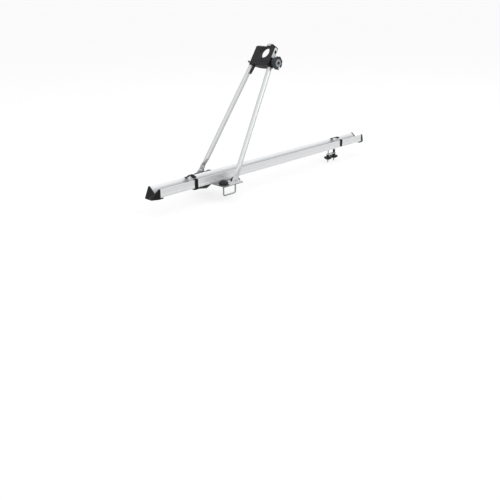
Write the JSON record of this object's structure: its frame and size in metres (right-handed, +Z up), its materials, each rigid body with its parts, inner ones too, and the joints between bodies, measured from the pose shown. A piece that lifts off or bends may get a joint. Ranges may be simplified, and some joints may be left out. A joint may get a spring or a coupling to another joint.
{
  "type": "roof bike carrier",
  "caption": "Roof bar bike carrier: wheel rail, folding arms with a frame clamp, U-bolt bracket, wheel straps and a sliding rear clamp",
  "frame": {"origin": "centre of the front bracket's seat, where its rubber pad rests on the roof bar", "axes": "+X along the rail towards the rear of the car, +Y across towards the far side, +Z up"},
  "size_m": [1.417, 0.2252, 0.6071],
  "materials": {
    "rail_aluminium": "satin anodised extrusion",
    "arm_metal": "satin silver tube",
    "grey_metal": "light grey coated sheet",
    "zinc_steel": "zinc plated",
    "bracket_steel": "dull zinc plated sheet",
    "black_steel": "black powder coat",
    "black_plastic": "moulded, fine grain",
    "black_rubber": "matt rubber",
    "grey_plastic": "satin moulded",
    "light_plate": "satin moulded, bare",
    "white_plastic": "smooth",
    "black_webbing": "woven webbing",
    "brass": "turned"
  },
  "bodies": {
    "carrier": {"wheel_rail": "rail_aluminium", "front_end_cap": "black_plastic", "rear_end_cap": "black_plastic", "wall_rivets": "zinc_steel", "bracket_base": "bracket_steel", "bar_pad": "black_rubber", "rail_slot_nuts": "zinc_steel", "rail_base_screws": "zinc_steel", "near_ear": "grey_metal", "far_ear": "grey_metal", "ear_rivets": "zinc_steel", "u_bolt_washers": "zinc_steel", "pivot_bolts": "zinc_steel", "pivot_washers": "zinc_steel", "pivot_nuts": "zinc_steel"},
    "near_u_bolt": {"near_u_bolt": "zinc_steel"},
    "far_u_bolt": {"far_u_bolt": "zinc_steel"},
    "arm_frame": {"near_arm": "arm_metal", "far_arm": "arm_metal", "head_body": "black_plastic", "tube_fixing_screws": "black_steel", "fixed_jaw_pad": "black_rubber", "spindle_nut": "brass", "lever_pin": "zinc_steel"},
    "sliding_jaw": {"sliding_jaw": "black_plastic", "sliding_jaw_pad": "black_rubber", "jaw_top_insert": "light_plate", "side_badge_plate": "light_plate", "badge_oval": "black_plastic"},
    "clamp_knob": {"clamp_knob": "black_plastic", "knob_face_cap": "grey_plastic", "knob_face_tab": "white_plastic", "jaw_spindle": "zinc_steel"},
    "lock_cylinder": {"lock_cylinder": "black_steel"},
    "release_lever": {"jaw_release_lever": "black_steel"},
    "rear_clamp_bolts": {"rear_slot_bolts": "zinc_steel"},
    "rear_clamp_plate": {"rear_clamp_plate": "grey_metal", "rear_bolt_sleeve": "black_rubber"},
    "near_front_knob": {"near_front_knob": "black_plastic", "near_front_knob_insert": "brass"},
    "near_rear_knob": {"near_rear_knob": "black_plastic", "near_rear_knob_insert": "brass"},
    "far_front_knob": {"far_front_knob": "black_plastic", "far_front_knob_insert": "brass"},
    "far_rear_knob": {"far_rear_knob": "black_plastic", "far_rear_knob_insert": "brass"},
    "rear_clamp_front_knob": {"rear_clamp_front_knob": "black_plastic", "rear_clamp_front_knob_insert": "brass"},
    "rear_clamp_rear_knob": {"rear_clamp_rear_knob": "black_plastic", "rear_clamp_rear_knob_insert": "brass"},
    "front_strap": {"front_strap": "black_webbing", "front_buckle_frame": "grey_metal", "front_buckle_pin": "zinc_steel"},
    "front_buckle_cam": {"front_buckle_cam": "grey_metal"},
    "rear_strap": {"rear_strap": "black_webbing", "rear_buckle_frame": "grey_metal", "rear_buckle_pin": "zinc_steel"},
    "rear_buckle_cam": {"rear_buckle_cam": "grey_metal"}
  },
  "joints": [
    {"name": "arm_fold", "type": "hinge", "parent": "carrier", "child": "arm_frame", "pos_m": [0.008, 0, 0.0226], "axis": [0, -1, 0], "range_deg": [-43, 32]},
    {"name": "jaw_slide", "type": "slide", "parent": "arm_frame", "child": "sliding_jaw", "axis": [0, -1, 0], "range_m": [0, 0.042]},
    {"name": "clamp_knob_turn", "type": "hinge", "parent": "sliding_jaw", "child": "clamp_knob", "pos_m": [0.2887, 0, 0.46804], "axis": [0, -1, 0], "range_deg": [-2, 3782]},
    {"name": "lock_turn", "type": "hinge", "parent": "clamp_knob", "child": "lock_cylinder", "pos_m": [0.2887, 0, 0.46804], "axis": [0, -1, 0], "range_deg": [0, 90]},
    {"name": "release_lever_turn", "type": "hinge", "parent": "arm_frame", "child": "release_lever", "pos_m": [0.27773, 0.033, 0.45426], "axis": [-0.848, 0, 0.5299], "range_deg": [0, 25]},
    {"name": "rear_clamp_slide", "type": "slide", "parent": "carrier", "child": "rear_clamp_bolts", "axis": [1, 0, 0], "range_m": [-0.4, 0]},
    {"name": "clamp_plate_lift", "type": "slide", "parent": "rear_clamp_bolts", "child": "rear_clamp_plate", "axis": [0, 0, 1], "range_m": [-0.006, 0.012]},
    {"name": "rear_clamp_front_knob_turn", "type": "hinge", "parent": "rear_clamp_plate", "child": "rear_clamp_front_knob", "pos_m": [0.777, 0, -0.045], "axis": [0, 0, 1], "range_deg": [-2162, 4322]},
    {"name": "rear_clamp_rear_knob_turn", "type": "hinge", "parent": "rear_clamp_plate", "child": "rear_clamp_rear_knob", "pos_m": [0.825, 0, -0.045], "axis": [0, 0, 1], "range_deg": [-2162, 4322]},
    {"name": "front_strap_slide", "type": "slide", "parent": "carrier", "child": "front_strap", "axis": [1, 0, 0], "range_m": [-0.1, 0.006]},
    {"name": "rear_strap_slide", "type": "slide", "parent": "carrier", "child": "rear_strap", "axis": [1, 0, 0], "range_m": [0, 0.1]},
    {"name": "front_buckle_cam_turn", "type": "hinge", "parent": "front_strap", "child": "front_buckle_cam", "pos_m": [-0.143, -0.01101, 0.04525], "axis": [1, 0, 0], "range_deg": [0, 60]},
    {"name": "rear_buckle_cam_turn", "type": "hinge", "parent": "rear_strap", "child": "rear_buckle_cam", "pos_m": [0.8385, -0.01057, 0.043], "axis": [1, 0, 0], "range_deg": [0, 60]},
    {"name": "near_u_bolt_slide", "type": "slide", "parent": "carrier", "child": "near_u_bolt", "axis": [0, 0, 1], "range_m": [-0.006, 0.003]},
    {"name": "near_front_knob_turn", "type": "hinge", "parent": "carrier", "child": "near_front_knob", "pos_m": [-0.0347, -0.079, 0.015], "axis": [0, 0, 1], "range_deg": [-1082, 2162]},
    {"name": "near_rear_knob_turn", "type": "hinge", "parent": "carrier", "child": "near_rear_knob", "pos_m": [0.0347, -0.079, 0.015], "axis": [0, 0, 1], "range_deg": [-1082, 2162]},
    {"name": "far_u_bolt_slide", "type": "slide", "parent": "carrier", "child": "far_u_bolt", "axis": [0, 0, 1], "range_m": [-0.006, 0.003]},
    {"name": "far_front_knob_turn", "type": "hinge", "parent": "carrier", "child": "far_front_knob", "pos_m": [-0.0347, 0.079, 0.015], "axis": [0, 0, 1], "range_deg": [-1082, 2162]},
    {"name": "far_rear_knob_turn", "type": "hinge", "parent": "carrier", "child": "far_rear_knob", "pos_m": [0.0347, 0.079, 0.015], "axis": [0, 0, 1], "range_deg": [-1082, 2162]}
  ],
  "couplings": [
    {"joint": "clamp_knob_turn", "follows": "jaw_slide", "rad_per_m": 1570.8},
    {"joint": "rear_clamp_front_knob_turn", "follows": "clamp_plate_lift", "rad_per_m": 6283.2},
    {"joint": "rear_clamp_rear_knob_turn", "follows": "clamp_plate_lift", "rad_per_m": 6283.2},
    {"joint": "near_front_knob_turn", "follows": "near_u_bolt_slide", "rad_per_m": -6283.2},
    {"joint": "near_rear_knob_turn", "follows": "near_u_bolt_slide", "rad_per_m": -6283.2},
    {"joint": "far_front_knob_turn", "follows": "far_u_bolt_slide", "rad_per_m": -6283.2},
    {"joint": "far_rear_knob_turn", "follows": "far_u_bolt_slide", "rad_per_m": -6283.2}
  ]
}
